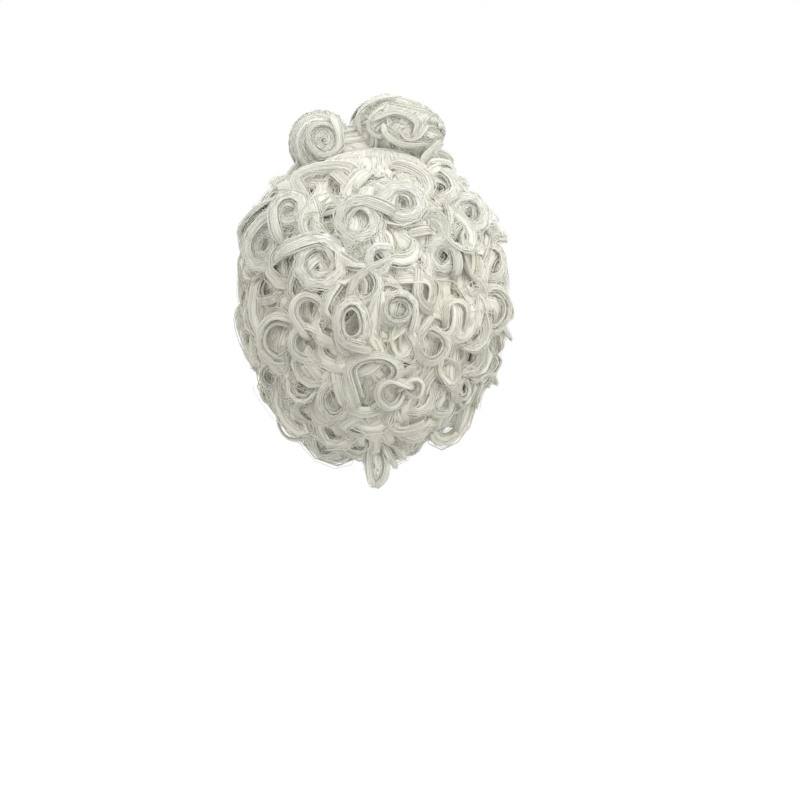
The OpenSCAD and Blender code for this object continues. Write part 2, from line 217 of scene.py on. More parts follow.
def sweep(batch, path, out, width, height, tone, profile, span):
    # tubes along many paths at once: path and out are tubes x points x 3, width and height tubes x points
    tubes, steps = path.shape[:2]
    sides = len(profile)
    tangent = unit(np.gradient(path, axis=1))
    out = unit(across(out, tangent))
    side = np.cross(out, tangent)
    rim = (path[:, :, None] + side[:, :, None] * (profile[:, 0] * width[..., None])[..., None]
           + out[:, :, None] * (profile[:, 1] * height[..., None])[..., None])
    grid = np.arange(tubes * steps * sides).reshape(tubes, steps, sides) + batch["count"]
    near, far = grid[:, :-1], grid[:, 1:]
    batch["quads"].append(np.stack([near, np.roll(near, -1, 2), np.roll(far, -1, 2), far], -1).reshape(-1, 4))
    length = np.cumsum(np.linalg.norm(np.diff(path, axis=1), axis=2), axis=1)
    along = np.concatenate([np.zeros((tubes, 1)), length], 1) * 10 + tone[:, None] * 7
    u = np.arange(sides) / sides * span
    u0, u1 = (np.broadcast_to(v, (tubes, steps - 1, sides)) for v in (u, u + span / sides))
    v0, v1 = (np.broadcast_to(v[..., None], (tubes, steps - 1, sides)) for v in (along[:, :-1], along[:, 1:]))
    flow = np.stack([np.stack([u0, v0], -1), np.stack([u1, v0], -1), np.stack([u1, v1], -1),
                     np.stack([u0, v1], -1)], 3)
    batch["flow"].append(flow.reshape(-1, 2))
    batch["points"].append(rim.reshape(-1, 3))
    batch["tone"].append(np.repeat(tone, steps * sides))
    # painted shade: the depth, lowered by the lock's share, darkens and warms the hair in the material
    batch["depth"].append(depthOf(batch["points"][-1]) * batch["share"])
    batch["ends"] += [row for row in grid[:, 0, ::-1]] + [row for row in grid[:, -1]]
    batch["count"] += tubes * steps * sides


def finishBatch(batch, name, material, stoodFor):
    points = clearCap(np.concatenate(batch["points"]))
    quads = np.concatenate(batch["quads"])
    flow = np.concatenate(batch["flow"])
    loops = np.concatenate([quads.reshape(-1)] + batch["ends"])
    sizes = np.concatenate([np.full(len(quads), 4), [len(e) for e in batch["ends"]]])
    starts = np.concatenate([[0], np.cumsum(sizes)[:-1]])
    mesh = bpy.data.meshes.new(name)
    mesh.vertices.add(len(points))
    mesh.vertices.foreach_set("co", points.astype(np.float32).ravel())
    mesh.loops.add(len(loops))
    mesh.loops.foreach_set("vertex_index", loops.astype(np.int32))
    mesh.polygons.add(len(sizes))
    mesh.polygons.foreach_set("loop_start", starts.astype(np.int32))
    mesh.polygons.foreach_set("use_smooth", np.ones(len(sizes), bool))
    mesh.update(calc_edges=True)
    uv = np.zeros((len(loops), 2), np.float32)
    uv[:len(flow)] = flow
    mesh.uv_layers.new(name="flow").data.foreach_set("uv", uv.ravel())
    for label in ("tone", "depth"):
        numbers = np.concatenate(batch[label]).astype(np.float32)
        mesh.attributes.new(label, "FLOAT", "POINT").data.foreach_set("value", numbers)
    mesh.validate()
    piece = bpy.data.objects.new(name, mesh)
    bpy.context.scene.collection.objects.link(piece)
    mesh.materials.append(material)
    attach(piece, capBody)
    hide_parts(*stoodFor)
    print(name, int((sizes - 2).sum()), "triangles")
    return piece


def sampleAt(values, share):
    # values along a path, read at shares of its length: any shape of shares, linear between points
    place = np.clip(share, 0, 1) * (len(values) - 1)
    low = np.minimum(place.astype(int), len(values) - 2)
    part = place - low
    if values.ndim > 1:
        part = part[..., None]
    return values[low] * (1 - part) + values[low + 1] * part


# hairs that lie on a lock, and hairs that stray from it
fibreLook = {"earliestEnd": {"lie": .86, "stray": .55}, "share": {"lie": 1, "stray": .6}, "waves": (2, 8),
             "spread": 1.04, "sway": .12, "size": (.6, 1.4), "tone": .42}


def addLock(batch, path, broad, look):
    # one flat lock: a thin core, hairs that lie on both faces of it, and a few that stray
    tangent = unit(np.gradient(path, axis=0))
    flat = unit(across(broad, tangent))
    up = np.cross(tangent, flat)
    share = np.linspace(0, 1, len(path))
    turn = look["twist"] * (share - .4)[:, None]
    broad, face = flat * np.cos(turn) + up * np.sin(turn), up * np.cos(turn) - flat * np.sin(turn)
    taper = np.interp(share, look["taperAt"], look["taper"])
    width, thick = look["width"] * taper, look["thick"] * (.3 + .7 * taper)
    tone = rng.uniform(.3, .7)
    batch["share"] = look["share"]
    steps = np.linspace(0, look["coreEnd"], look["coreSteps"])[None]
    sweep(batch, sampleAt(path, steps), sampleAt(face, steps), sampleAt(width, steps) * look["coreWide"],
          sampleAt(thick, steps) * look["coreThick"], np.array([tone]), look["core"], 1.0)
    for kind in ("lie", "stray"):
        count = look[kind]
        if not count:
            continue
        first = rng.uniform(0, look["fibreStart"], count)
        last = rng.uniform(fibreLook["earliestEnd"][kind], 1, count)
        s = first[:, None] + (last - first)[:, None] * np.linspace(0, 1, look["fibreSteps"])
        waves = rng.uniform(*fibreLook["waves"], count)[:, None]
        wave = np.sin(waves * s + rng.uniform(0, 6, count)[:, None])
        place = rng.permutation((np.arange(count) + rng.uniform(.1, .9, count)) / count * 2 - 1)
        place = place[:, None] * fibreLook["spread"] + fibreLook["sway"] * wave
        level = np.where(np.arange(count) % 2, 1, -.8)[:, None]  # hairs take turns on the two faces
        level = level * (.45 + .45 * np.sqrt(np.clip(1 - place ** 2, 0, 1)))
        if kind == "stray":
            place = place * (1 + look["strayReach"] * s)
            level = level * (1 + 1.6 * look["strayReach"] * rng.uniform(0, 1, count)[:, None] * s) + .3 * wave
        b, f = sampleAt(broad, s), sampleAt(face, s)
        w, t = sampleAt(width, s)[..., None], sampleAt(thick, s)[..., None]
        line = sampleAt(path, s) + (b * place[..., None] * w + f * level[..., None] * t) / 2
        out = f * np.sign(level)[..., None] + b * place[..., None] * .8
        size = look["fibre"] * rng.uniform(*fibreLook["size"], count)[:, None] * fibreLook["share"][kind]
        size = size * np.interp(s, [0, .1, .85, 1], [.6, 1, .8, .3])
        tones = np.clip(tone + rng.normal(0, fibreLook["tone"], count), 0, 1)
        sweep(batch, line, out, size, size * .75, tones, fibreProfile, .03)


# full: a ringlet that shows; under: one below it; mat: a combed lock on the cap
ringletTaper = {"taperAt": [0, .12, .7, .92, 1], "taper": [.6, 1, .95, .55, .15]}
# share: how much of its depth a lock keeps, so that under curls and mats take more painted shade
lockKinds = {
    "full": {"core": ringletCore, "coreSteps": 24, "coreEnd": .93, "coreWide": .72, "coreThick": .5,
             "lie": 22, "stray": 8, "fibreSteps": 21, "fibreStart": .08, "fibre": .00060, "strayReach": 1.1,
             "share": 1.0, **ringletTaper},
    "under": {"core": ringletCore, "coreSteps": 16, "coreEnd": .95, "coreWide": .8, "coreThick": .5,
              "lie": 11, "stray": 3, "fibreSteps": 16, "fibreStart": .08, "fibre": .00072, "strayReach": .8,
              "share": .8, **ringletTaper},
    "mat": {"core": matCore, "coreSteps": 7, "coreEnd": 1, "coreWide": 1, "coreThick": 1,
            "lie": 0, "stray": 0, "fibreSteps": 9, "fibreStart": .05, "fibre": .0006, "strayReach": .3,
            "share": .5, "taperAt": [0, .15, .8, 1], "taper": [.5, 1, .9, .25]},
}


curlSteps = {"ring": 40, "lead": 10}


def addCurl(batch, centre, axis, curl, kind):
    # a lock that leaves the cap, comes to the surface and turns in a ring; angles are seen from outside,
    # 0 to the right and 90 up
    axis = unit(axis)
    u = unit(across(rightX if abs(axis[0]) < .8 else unit(np.cross(upZ, axis)), axis))
    v = unit(np.cross(axis, u)) if np.dot(np.cross(axis, u), upZ) > 0 else unit(np.cross(u, axis))
    if abs(axis[2]) > .8:  # a curl that lies on top: up is towards the face
        v = unit(across(-backY, axis))
        u = unit(np.cross(v, axis))
    lean = math.radians(curl["lean"])
    long, short = v * math.cos(lean) - u * math.sin(lean), u * math.cos(lean) + v * math.sin(lean)
    radius, hand = curl["radius"], curl["hand"]
    share = np.linspace(0, 1, curlSteps["ring"])
    theta = math.radians(curl["start"]) + hand * share * curl["turns"] * 2 * math.pi
    r = radius * (1 - curl["close"] * share ** 1.3)
    coil = (centre + (r * np.cos(theta))[:, None] * short + (r * np.sin(theta) * curl["tall"])[:, None] * long
            + axis * (curl["rise"] * (.5 - share) - curl["tuck"] * share ** 4)[:, None])
    phase = rng.uniform(0, 6, 6)
    wander = sum(np.sin((2.2 + 1.7 * k) * theta[:, None] / 2 + phase[k:k + 3]) for k in (0, 1, 2))
    coil = coil + wander * curl["wander"] * np.minimum(share * 2, 1)[:, None]
    heading = unit(coil[0] - coil[1])
    inner = -outward(centre)
    root = coil[0] + heading * radius * 1.3 + inner * curl["sink"]
    s = np.linspace(0, 1, curlSteps["lead"] + 1)[:-1, None]
    b = root - inner * curl["sink"] * .7
    c = coil[0] + heading * radius * .7
    lead = (1 - s) ** 3 * root + 3 * (1 - s) ** 2 * s * b + 3 * (1 - s) * s ** 2 * c + s ** 3 * coil[0]
    radial = unit(across(coil - centre, axis))
    flare = curl["flare"]
    wide = math.cos(flare) * axis + math.sin(flare) * radial
    path = np.concatenate([lead, coil])
    broad = np.concatenate([np.tile(wide[0], (curlSteps["lead"], 1)), wide])
    look = dict(lockKinds[kind], width=curl["width"], thick=curl["width"] * curl["flat"],
                twist=rng.uniform(-1, 1) * curl["twist"])
    addLock(batch, path, broad, look)
    if curl.get("pair"):  # a thinner lock that turns inside the first
        inside = centre + (path - centre) * curl["pair"] - axis * rng.uniform(0, .0015)
        look = dict(lockKinds["under"], width=curl["width"] * .6, thick=curl["width"] * .6 * curl["flat"],
                    twist=rng.uniform(-1, 1) * curl["twist"], share=1.0)
        addLock(batch, inside, broad, look)


# lowest and highest of what each free ringlet draws
curlShape = {"lean": (-30, 30), "tall": (.8, 1.3), "rise": (-.003, .006), "tuck": (.003, .009),
             "sink": (.008, .013), "flat": (.22, .36), "wander": (.0003, .0009), "twist": (.2, 1.1)}
curlKinds = {
    "crisp": {"radius": (.0075, .0120), "turns": (1.0, 2.1), "close": (.2, .6), "width": (.0040, .0068),
              "flare": (.45, 1.15), "pair": (.68, .82)},
    "soft": {"radius": (.0095, .0145), "turns": (1.6, 2.5), "close": (.65, .92), "width": (.0075, .0120),
             "flare": (1.05, 1.45)},
    "low": {"radius": (.0095, .0160), "turns": (.9, 1.9), "close": (.5, .85), "width": (.0090, .0140),
            "flare": (.95, 1.4)},
}


def randomCurl(kind):
    curl = {key: rng.uniform(*span) for key, span in {**curlShape, **curlKinds[kind]}.items()}
    curl["hand"] = int(rng.choice([-1, 1]))
    curl["start"] = 90 - curl["hand"] * rng.uniform(-100, 20)
    curl["flare"] *= rng.choice([-1, 1], p=[.65, .35])
    return curl


def mathNode(tree, operation, a, b=None):
    node = tree.nodes.new("ShaderNodeMath")
    node.operation = operation
    for socket, value in zip(node.inputs, (a, b)):
        if isinstance(value, (int, float)):
            socket.default_value = value
        elif value is not None:
            tree.links.new(value, socket)
    return node.outputs[0]


def mixColor(tree, factor, a, b):
    node = tree.nodes.new("ShaderNodeMix")
    node.data_type = "RGBA"
    for socket, value in ((node.inputs[0], factor), (node.inputs[6], a), (node.inputs[7], b)):
        if isinstance(value, (int, float)):
            socket.default_value = value
        elif isinstance(value, tuple):
            socket.default_value = (*value, 1)
        else:
            tree.links.new(value, socket)
    return node.outputs[2]


def newGroup(name, inputs, outputs):
    tree = bpy.data.node_groups.new(name, "ShaderNodeTree")
    for label, value in inputs.items():
        socket = tree.interface.new_socket(name=label, in_out="INPUT", socket_type="NodeSocketFloat")
        socket.default_value = value
    for label in outputs:
        tree.interface.new_socket(name=label, in_out="OUTPUT", socket_type="NodeSocketFloat")
    return tree, tree.nodes.new("NodeGroupInput"), tree.nodes.new("NodeGroupOutput")


def buildStrandGroup():
    # fine lines that run along a lock, from the flow map and the lock's own tone
    tree, gin, gout = newGroup("strandLines", {"Lines": 46.0, "Clumps": 7.0}, ["Fine", "Broad", "Height"])
    uv = tree.nodes.new("ShaderNodeUVMap")
    uv.uv_map = "flow"
    tone = tree.nodes.new("ShaderNodeAttribute")
    tone.attribute_name = "tone"
    split = tree.nodes.new("ShaderNodeSeparateXYZ")
    tree.links.new(uv.outputs[0], split.inputs[0])
    seed = mathNode(tree, "MULTIPLY", tone.outputs["Fac"], 31.0)
    outs = []
    for label, stretch, detail in (("Lines", .55, 2.0), ("Clumps", .35, 1.0)):
        join = tree.nodes.new("ShaderNodeCombineXYZ")
        tree.links.new(mathNode(tree, "MULTIPLY", split.outputs[0], gin.outputs[label]), join.inputs[0])
        tree.links.new(mathNode(tree, "MULTIPLY", split.outputs[1], stretch), join.inputs[1])
        tree.links.new(seed, join.inputs[2])
        noise = tree.nodes.new("ShaderNodeTexNoise")
        noise.inputs["Scale"].default_value = 1.0
        noise.inputs["Detail"].default_value = detail
        tree.links.new(join.outputs[0], noise.inputs["Vector"])
        spread = tree.nodes.new("ShaderNodeMapRange")
        spread.inputs["From Min"].default_value = .3
        spread.inputs["From Max"].default_value = .7
        tree.links.new(noise.outputs[0], spread.inputs["Value"])
        outs.append(spread.outputs[0])
    tree.links.new(outs[0], gout.inputs["Fine"])
    tree.links.new(outs[1], gout.inputs["Broad"])
    fine, broad = mathNode(tree, "MULTIPLY", outs[0], .45), mathNode(tree, "MULTIPLY", outs[1], .8)
    tree.links.new(mathNode(tree, "ADD", fine, broad), gout.inputs["Height"])
    return tree


strandGroup = buildStrandGroup()


def hairMaterial(name, look):
    material = bpy.data.materials.new(name)
    material.use_nodes = True
    tree = material.node_tree
    shader = tree.nodes["Principled BSDF"]
    strands = tree.nodes.new("ShaderNodeGroup")
    strands.node_tree = strandGroup
    strands.inputs["Lines"].default_value = look["lines"]
    strands.inputs["Clumps"].default_value = look["clumps"]
    tone = tree.nodes.new("ShaderNodeAttribute")
    tone.attribute_name = "tone"
    depth = tree.nodes.new("ShaderNodeAttribute")
    depth.attribute_name = "depth"
    place = tree.nodes.new("ShaderNodeTexCoord")
    height = tree.nodes.new("ShaderNodeSeparateXYZ")
    tree.links.new(place.outputs["Object"], height.inputs[0])
    # painted shade: lower down on the wig the hair turns to the darker, warmer low colour
    low = tree.nodes.new("ShaderNodeMapRange")
    low.inputs["From Min"].default_value = -.05
    low.inputs["From Max"].default_value = -.10
    tree.links.new(height.outputs[2], low.inputs["Value"])
    outer = mixColor(tree, low.outputs[0], look["light"], look["low"])
    # painted shade: hair deep in the mass, by the cap, takes the darker, warmer deep colour
    body = mixColor(tree, depth.outputs["Fac"], look["deep"], outer)
    # painted shade: the fine strand lines darken towards the line colour, as between hairs
    lineShade = mathNode(tree, "MULTIPLY", strands.outputs["Fine"], look["lineShade"])
    line = mixColor(tree, lineShade, body, look["line"])
    light = mathNode(tree, "MULTIPLY", tone.outputs["Fac"], look["variation"])
    lighter = mixColor(tree, light, line, look["other"])
    # duller locks, by their own random tone, lean to the line colour as well
    dull = mathNode(tree, "POWER", mathNode(tree, "SUBTRACT", 1.0, tone.outputs["Fac"]), 3.0)
    shade = mixColor(tree, mathNode(tree, "MULTIPLY", dull, look["variation"]), lighter, look["line"])
    tree.links.new(shade, shader.inputs["Base Color"])
    rough = mathNode(tree, "ADD", mathNode(tree, "MULTIPLY", strands.outputs["Broad"], .12), look["rough"])
    tree.links.new(rough, shader.inputs["Roughness"])
    bump = tree.nodes.new("ShaderNodeBump")
    bump.inputs["Strength"].default_value = look["bump"]
    bump.inputs["Distance"].default_value = .0003
    tree.links.new(strands.outputs["Height"], bump.inputs["Height"])
    tree.links.new(bump.outputs[0], shader.inputs["Normal"])
    shader.inputs["Specular IOR Level"].default_value = .3
    shader.inputs["Sheen Weight"].default_value = look["sheen"]
    shader.inputs["Sheen Roughness"].default_value = .5
    return material


# light: ringlets above; low: ringlets below, painted shade that makes the lower hair darker and warmer; deep:
# painted shade by the cap, deep in the hair; line: painted shade between hairs, also the tone of the duller locks;
# other: the palest locks
hairLook = {"light": (.92, .922, .85), "low": (.92, .912, .80), "deep": (.90, .86, .68),
            "line": (.80, .78, .65), "other": (.95, .952, .90), "lines": 40.0, "clumps": 7.0,
            "lineShade": .42, "variation": .55, "rough": .48, "bump": .35, "sheen": .12}
curlHair = hairMaterial("curlHair", hairLook)
sweepHair = hairMaterial("sweepHair", dict(hairLook, lines=30.0, lineShade=.5, bump=.4))
print("materials made")

batches = {name: newBatch() for name in curlNames}
taken = []  # centre and reach of every curl of the outer layer

# curls that stand out on the back: where they are, across and up, and how each one turns
notable = [
    {"at": (.0109, -.1044), "radius": .0092, "tall": 1.45, "start": 265, "turns": 1.6, "hand": -1,
     "width": .0075, "close": .15},
    {"at": (.0370, -.0968), "radius": .0102, "start": 215, "turns": .75, "hand": -1, "width": .0062,
     "close": .05},
    {"at": (.0390, -.1160), "radius": .0098, "tall": 1.1, "start": 60, "turns": .85, "width": .0058},
    {"at": (-.0026, -.1326), "radius": .0165, "tall": .64, "start": 195, "turns": .8, "hand": -1,
     "width": .0070, "close": .15},
    {"at": (.0217, -.1498), "radius": .0095, "tall": 1.25, "start": 100, "turns": 1.9, "width": .0055,
     "close": .3},
    {"at": (-.0120, -.1460), "radius": .0092, "start": 60, "turns": .95, "width": .0058,
     "close": .15},
    {"at": (-.0262, -.1425), "radius": .0062, "start": 150, "turns": 1.3, "hand": -1, "width": .0034,
     "close": .2},
    {"at": (-.0224, -.1620), "radius": .0135, "tall": .55, "start": 165, "turns": .55,
     "width": .0088, "close": .0},
    {"at": (-.0170, -.0960), "radius": .0100, "start": -20, "turns": 1.9, "width": .0050,
     "close": .45},
    {"at": (-.0364, -.1166), "radius": .0105, "tall": 1.05, "start": 130, "turns": 1.25,
     "width": .0048},
    {"at": (-.0520, -.1000), "radius": .0078, "tall": 1.35, "start": 200, "turns": .85, "hand": -1,
     "width": .0060},
    {"at": (-.0760, -.0936), "radius": .0130, "tall": 1.15, "start": 150, "turns": 1.0, "hand": -1,
     "width": .0070},
    {"at": (.0562, -.1140), "radius": .0140, "tall": 1.1, "start": 75, "turns": .7, "width": .0064},
    {"at": (.0626, -.1350), "radius": .0080, "start": 120, "turns": 1.8, "width": .0048, "close": .4},
    {"at": (.0480, -.1640), "radius": .0120, "start": 60, "turns": 1.2, "width": .0046, "close": .2},
    {"at": (.0270, -.0130), "radius": .0200, "tall": .42, "start": 200, "turns": 1.3, "hand": -1,
     "width": .0090, "close": .5},
    {"at": (.0495, -.0340), "radius": .0108, "start": 200, "turns": 2.2, "hand": -1, "width": .0085,
     "close": .8},
    {"at": (.0850, -.0620), "radius": .0055, "tall": 1.1, "start": 30, "turns": 1.3, "width": .0034},
    {"at": (.0073, -.0425), "radius": .0130, "start": 60, "turns": 2.4, "width": .0085, "close": .85},
    {"at": (-.0196, -.0320), "radius": .0120, "tall": .95, "start": 160, "turns": 2.3, "hand": -1,
     "width": .0085, "close": .85},
    {"at": (-.0600, -.0350), "radius": .0120, "start": 170, "turns": 2.2, "hand": -1, "width": .0095,
     "close": .8},
    {"at": (-.0428, -.0633), "radius": .0090, "start": 0, "turns": 2.1, "width": .0060, "close": .8},
    {"at": (-.0049, -.0670), "radius": .0058, "tall": 1.45, "start": 80, "turns": 1.8, "width": .0040,
     "close": .3},
    {"at": (.0307, -.0680), "radius": .0155, "start": 120, "turns": 2.6, "hand": -1, "width": .0095,
     "close": .85},
    {"at": (.0655, -.0560), "radius": .0125, "tall": 1.1, "start": 120, "turns": 2.2, "width": .0090,
     "close": .8},
    {"at": (-.0745, -.0640), "radius": .0100, "tall": 1.1, "start": 100, "turns": 1.4, "hand": -1,
     "width": .0056, "close": .3},
]
# what such a curl has where its line above doesn't say: soft flat discs above, crisp pairs of rings below
notableShape = {"tall": 1.0, "hand": 1, "close": .1, "lean": 0, "rise": .002, "tuck": .005, "sink": .010,
                "wander": .0004}
notableHigh = {"flat": .22, "flare": -1.35, "twist": .25, "pair": 0}
notableLow = {"flat": .30, "flare": -.8, "twist": .6, "pair": .74}
for placed in notable:
    spot, owner = castBack(*placed["at"])
    normal = outward(spot)
    high = placed["at"][1] > -.07
    curl = {**notableShape, **(notableHigh if high else notableLow), **placed}
    curl["width"] *= 1 if high else .85
    addCurl(batches[owner], spot - normal * .0010, unit(normal + backY * .8), curl, "full")
    taken.append((spot, curl["radius"] * max(1, curl["tall"]) * 1.1 + .002))

fillLook = {"tries": 5200, "closest": .86, "outerDepth": .0045, "underDepth": (.0060, .0105),
            "underSpacing": .0108, "bareBack": .92, "bareRound": .25}


def curlKindAt(spot):
    # soft above, crisp below
    return "soft" if rng.uniform() < np.clip((spot[2] - middle[2]) / .06 + .5, .1, .9) else "crisp"


def rowPolar(name):
    # azimuths and polar angles that a row of the frame covers
    co = np.array([v.co for v in nodes[name].data.vertices]) - middle
    azimuth = np.degrees(np.arctan2(co[:, 0], co[:, 1]))
    if co[:, 1].max() < 0:
        azimuth = azimuth % 360
    polar = np.degrees(np.arccos(co[:, 2] / np.linalg.norm(co, axis=1)))
    return azimuth, polar


topPolar = rowPolar("curl_row_1")[1]


def smoothThere(way):
    # the upper part of the first row stays free of curls, more of it at the back
    polar = math.degrees(math.acos(way[2]))
    share = fillLook["bareBack"] if way[1] > abs(way[0]) * 1.2 else fillLook["bareRound"]
    return polar < topPolar.min() + share * (topPolar.max() - topPolar.min())


def fillOuter():
    made = 0
    for way in unit(rng.normal(0, 1, (fillLook["tries"], 3))):
        spot, owner = castOut(way)
        if spot is None or smoothThere(way):
            continue
        curl = randomCurl(curlKindAt(spot))
        reach = curl["radius"] * .9
        if any(np.linalg.norm(spot - place) < (reach + size) * fillLook["closest"] for place, size in taken):
            continue
        taken.append((spot, reach))
        normal = outward(spot)
        tilt = unit(across(rng.normal(0, 1, 3), normal)) * rng.uniform(0, .7)
        addCurl(batches[owner], spot - normal * fillLook["outerDepth"], normal + tilt, curl, "full")
        made += 1
    print("outer curls:", made)


def fillUnder():
    places = []
    for way in unit(rng.normal(0, 1, (fillLook["tries"], 3))):
        spot, owner = castOut(way)
        if spot is None or smoothThere(way):
            continue
        if any(np.linalg.norm(spot - place) < fillLook["underSpacing"] for place in places):
            continue
        places.append(spot)
        normal = outward(spot)
        curl = randomCurl("low")
        tilt = unit(across(rng.normal(0, 1, 3), normal)) * rng.uniform(0, .5)
        centre = spot - normal * rng.uniform(*fillLook["underDepth"])
        addCurl(batches[owner], centre, normal + tilt, curl, "under")
    print("under curls:", len(places))


def pointAt(azimuth, polar):
    a, p = math.radians(azimuth), math.radians(polar)
    return np.array([math.sin(p) * math.sin(a), math.sin(p) * math.cos(a), math.cos(p)])


matLook = {"step": .0025, "width": (.0052, .0070), "lift": (.0002, .0016), "sway": 7.0, "flat": .2}


def addMat(batch, name):
    # narrow locks that lie on the cap under the curls, so that no gap shows the net
    azimuth, polar = rowPolar(name)
    full = azimuth.max() - azimuth.min() > 340
    a, stop = (-180, 180) if full else (azimuth.min() + 1, azimuth.max() - 1)
    while a < stop:
        near = np.abs((azimuth - a + 180) % 360 - 180) < 10
        top, bottom = polar[near].min(), polar[near].max()
        lift = rng.uniform(*matLook["lift"])
        sway, phase = matLook["sway"] * rng.uniform(.3, 1), rng.normal(0, .8)
        path = []
        for s in np.linspace(0, 1, 7):
            spot = castIn(pointAt(a + sway * math.sin(s * 4 + phase), top - 3 + (bottom - top + 2) * s))
            if spot is not None:
                path.append(spot + outward(spot) * (.0008 + lift * math.sin(math.pi * min(s + .15, 1))))
        ring = max(math.hypot(*(pointAt(a, (top + bottom) / 2)[:2])) * .085, .02)
        a += math.degrees(matLook["step"] / ring)
        if len(path) < 5:
            continue
        path = np.array(path)
        broad = np.cross(np.gradient(path, axis=0), np.array([outward(q) for q in path]))
        width = rng.uniform(*matLook["width"])
        look = dict(lockKinds["mat"], width=width, thick=width * matLook["flat"], twist=rng.uniform(-.3, .3))
        addLock(batch, path, broad, look)


fillOuter()
fillUnder()
for name, batch in batches.items():
    addMat(batch, name)
    label = edgeNames.get(name) or "curlsRow%d" % (rowNames.index(name) + 1)
    finishBatch(batch, label, curlHair, [name])


sweepLook = {"step": 2.6, "outer": 1.2, "outerBack": 1.3, "inner": .75, "rise": .002, "sink": .006,
             "width": .0062, "thick": .0022, "points": 14}


def makeSweep():
    # smooth hair that is combed up from the curls to the foot of the bun
    batch = newBatch()
    low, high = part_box("crown_sweep")
    half = np.array([high[0], high[1]])
    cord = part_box("bun_drawstring")
    centre = (np.array(cord[0]) + np.array(cord[1]))[:2] / 2
    inner = (np.array(cord[1]) - np.array(cord[0]))[:2] / 2
    crownTree = nodeTree(["crown_sweep", "curl_row_1", "curl_row_2", "bun_base_net"])[0]
    for a in np.arange(0, 360, sweepLook["step"]):
        angle = math.radians(a + rng.uniform(-1, 1))
        way = np.array([math.sin(angle), math.cos(angle)])
        outer = sweepLook["outerBack"] if way[1] > .5 else sweepLook["outer"]
        outer = way * half * outer * rng.uniform(.94, 1)
        goal = centre + way * inner * sweepLook["inner"]
        path = []
        for s in np.linspace(0, 1, sweepLook["points"]):
            x, y = outer + (goal - outer) * s
            hit = crownTree.ray_cast(Vector((x, y, .2)), Vector((0, 0, -1)))
            if hit[0] is not None:
                z = hit[0][2] - sweepLook["sink"] * (1 - s) ** 4 + sweepLook["rise"] * s ** 3
                path.append((x, y, z + rng.uniform(-.0006, 0)))
        path = np.array(path)
        wave = np.sin(np.linspace(0, 3, len(path)) + a / 9)[:, None]
        broad = np.tile(np.array([way[1], -way[0], 0]), (len(path), 1))
        path = path + broad * wave * .0012
        look = dict(lockKinds["mat"], width=sweepLook["width"], thick=sweepLook["thick"],
                    twist=rng.uniform(-.3, .3), coreSteps=13, coreWide=.8, coreThick=.6, fibreSteps=13, lie=9,
                    stray=1, share=1, taperAt=[0, .3, 1], taper=[.9, 1, .8])
        addLock(batch, path, broad, look)
    return finishBatch(batch, "crownSweep", sweepHair, ["crown_sweep"])


makeSweep()


def curvePath(points, count):
    # a smooth path through a few points
    points = np.array(points, float)
    padded = np.concatenate([2 * points[:1] - points[1:2], points, 2 * points[-1:] - points[-2:-1]])
    t = np.linspace(0, len(points) - 1, count)
    i = np.minimum(t.astype(int), len(points) - 2)
    s = (t - i)[:, None]
    a, b, c, d = padded[i], padded[i + 1], padded[i + 2], padded[i + 3]
    curve = 2 * b + (c - a) * s + (2 * a - 5 * b + 4 * c - d) * s ** 2 + (3 * b - a - 3 * c + d) * s ** 3
    return .5 * curve


def addSwirl(batch, centre, half, pole, swirl):
    # locks that wind in on the round of a bun lobe to a pole of it
    pole = unit(pole)
    u = unit(np.cross(pole, [.2, .3, 1.0]))
    v = np.cross(pole, u)
    s = np.linspace(0, 1, 44)
    for arm in range(swirl["arms"]):
        alpha = swirl["reach"] * (1 - s) ** .85 + .03
        theta = swirl["hand"] * 2 * math.pi * swirl["turns"] * s + 2 * math.pi * arm / swirl["arms"]
        theta = theta + rng.uniform(-.15, .15)
        d = (np.cos(alpha)[:, None] * pole + (np.sin(alpha) * np.cos(theta))[:, None] * u
             + (np.sin(alpha) * np.sin(theta))[:, None] * v)
        lift = swirl["scale"] * rng.uniform(.97, 1.0) - .10 * s ** 6
        path = centre + d * half * np.broadcast_to(lift, s.shape)[:, None]
        path[:, 2] = np.maximum(path[:, 2], centre[2] - half[2] + .002)
        broad = np.cross(np.gradient(path, axis=0), d) + d * swirl["slope"] * .004
        look = dict(lockKinds["full"], width=swirl["width"], thick=swirl["width"] * .20,
                    twist=rng.uniform(-.3, .3), taper=[.6, 1, .9, .7, .4], lie=27, stray=7, fibreSteps=17,
                    strayReach=.8)
        addLock(batch, path, broad, look)


def addCoat(batch, centre, half, pole, count, scale):
    # locks side by side round a lobe, under its curls
    pole = unit(pole)
    u = unit(np.cross(pole, [.2, .3, 1.0]))
    v = np.cross(pole, u)
    polar = np.linspace(.12, 3.0, 12)
    for k in range(count):
        turn = 2 * math.pi * k / count + .5 * np.sin(polar * 1.3 + rng.normal(0, .3))
        d = (np.cos(polar)[:, None] * pole + (np.sin(polar) * np.cos(turn))[:, None] * u
             + (np.sin(polar) * np.sin(turn))[:, None] * v)
        path = centre + d * half * scale * rng.uniform(.97, 1)
        path[:, 2] = np.maximum(path[:, 2], centre[2] - half[2] + .002)
        look = dict(lockKinds["mat"], width=.0068, thick=.0016, twist=0, coreSteps=12, share=1.0)
        addLock(batch, path, np.cross(np.gradient(path, axis=0), d), look)


def pullIn(batch, centre, half, most, slant=0.0):
    # hair that stands off a lobe is drawn in, and the lobe's top falls away to the right by the slant
    for k, points in enumerate(batch["points"]):
        q = (points - centre) / half
        n = np.linalg.norm(q, axis=1, keepdims=True)
        q = q * np.where(n > most, (most + (n - most) * .2) / np.maximum(n, 1e-9), 1)
        q[:, 2] = np.where(q[:, 2] > 0, q[:, 2] * np.clip(1 + slant * q[:, 0], 0, 1.08), q[:, 2])
        batch["points"][k] = centre + q * half


def lobeParts(name):
    low, high = (np.array(c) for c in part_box(name))
    return (low + high) / 2, (high - low) / 2


